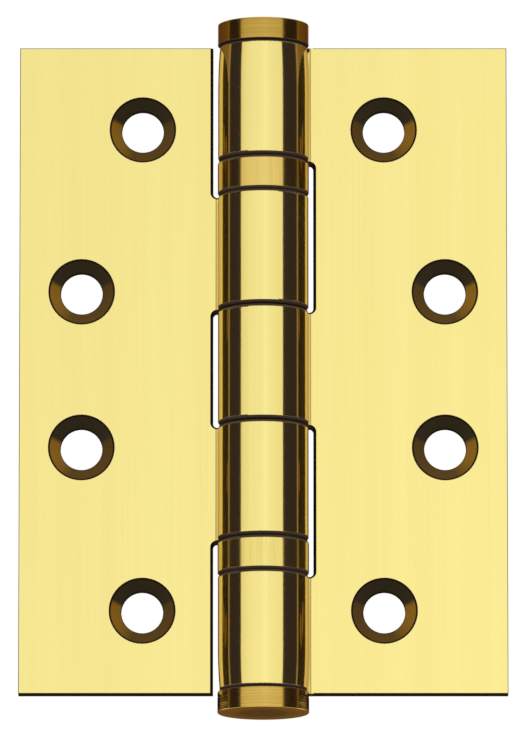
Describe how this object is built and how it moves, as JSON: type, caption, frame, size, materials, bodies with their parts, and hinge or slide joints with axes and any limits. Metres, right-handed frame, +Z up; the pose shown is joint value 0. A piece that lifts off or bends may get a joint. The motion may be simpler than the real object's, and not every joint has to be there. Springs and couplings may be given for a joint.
{
  "type": "ball-bearing butt hinge",
  "caption": "Butt door hinge laid open flat: two rectangular leaves with rolled knuckles on a capped pin, thrust ball bearings between knuckles, zigzag countersunk screw holes.",
  "frame": {"origin": "on the pin's axis at half height, which is the centre of the whole part", "axes": "+Z up along the pin, +X from the pin over the frame leaf, and -Y from the countersunk faces towards the viewer, with the hinge laid open flat"},
  "size_m": [0.076, 0.0142, 0.1086],
  "materials": {
    "leaf_finish": "stainless steel, polished and lightly brushed along its height, brass-coloured",
    "cap_finish": "stainless steel, turned, brass-coloured, a little darker than the leaves",
    "bearing_ring_finish": "stainless steel, turned, brass-coloured",
    "pin_steel": "ground stainless steel",
    "bearing_steel": "hardened, polished steel",
    "cage_brass": "stamped brass"
  },
  "bodies": {
    "frame": {"frame_leaf": "leaf_finish", "hinge_pin": "pin_steel", "top_cap": "cap_finish", "bottom_cap": "cap_finish", "upper_bearing_upper_race": "bearing_steel", "lower_bearing_shell": "bearing_ring_finish", "lower_bearing_lower_race": "bearing_steel"},
    "door": {"door_leaf": "leaf_finish", "upper_bearing_shell": "bearing_ring_finish", "upper_bearing_lower_race": "bearing_steel", "lower_bearing_upper_race": "bearing_steel"},
    "upper_cage": {"upper_bearing_cage": "cage_brass", "upper_bearing_ball_01": "bearing_steel", "upper_bearing_ball_02": "bearing_steel", "upper_bearing_ball_03": "bearing_steel", "upper_bearing_ball_04": "bearing_steel", "upper_bearing_ball_05": "bearing_steel", "upper_bearing_ball_06": "bearing_steel", "upper_bearing_ball_07": "bearing_steel", "upper_bearing_ball_08": "bearing_steel", "upper_bearing_ball_09": "bearing_steel", "upper_bearing_ball_10": "bearing_steel"},
    "lower_cage": {"lower_bearing_cage": "cage_brass", "lower_bearing_ball_01": "bearing_steel", "lower_bearing_ball_02": "bearing_steel", "lower_bearing_ball_03": "bearing_steel", "lower_bearing_ball_04": "bearing_steel", "lower_bearing_ball_05": "bearing_steel", "lower_bearing_ball_06": "bearing_steel", "lower_bearing_ball_07": "bearing_steel", "lower_bearing_ball_08": "bearing_steel", "lower_bearing_ball_09": "bearing_steel", "lower_bearing_ball_10": "bearing_steel"}
  },
  "joints": [
    {"name": "hinge_turn", "type": "hinge", "parent": "frame", "child": "door", "pos_m": [0, 0, 0], "axis": [0, 0, 1], "range_deg": [-115, 180]},
    {"name": "upper_cage_turn", "type": "hinge", "parent": "frame", "child": "upper_cage", "pos_m": [0, 0, 0.03025], "axis": [0, 0, 1], "range_deg": [-58, 91]},
    {"name": "lower_cage_turn", "type": "hinge", "parent": "frame", "child": "lower_cage", "pos_m": [0, 0, -0.02965], "axis": [0, 0, 1], "range_deg": [-58, 91]}
  ],
  "couplings": [
    {"joint": "upper_cage_turn", "follows": "hinge_turn", "ratio": 0.5},
    {"joint": "lower_cage_turn", "follows": "hinge_turn", "ratio": 0.5}
  ]
}
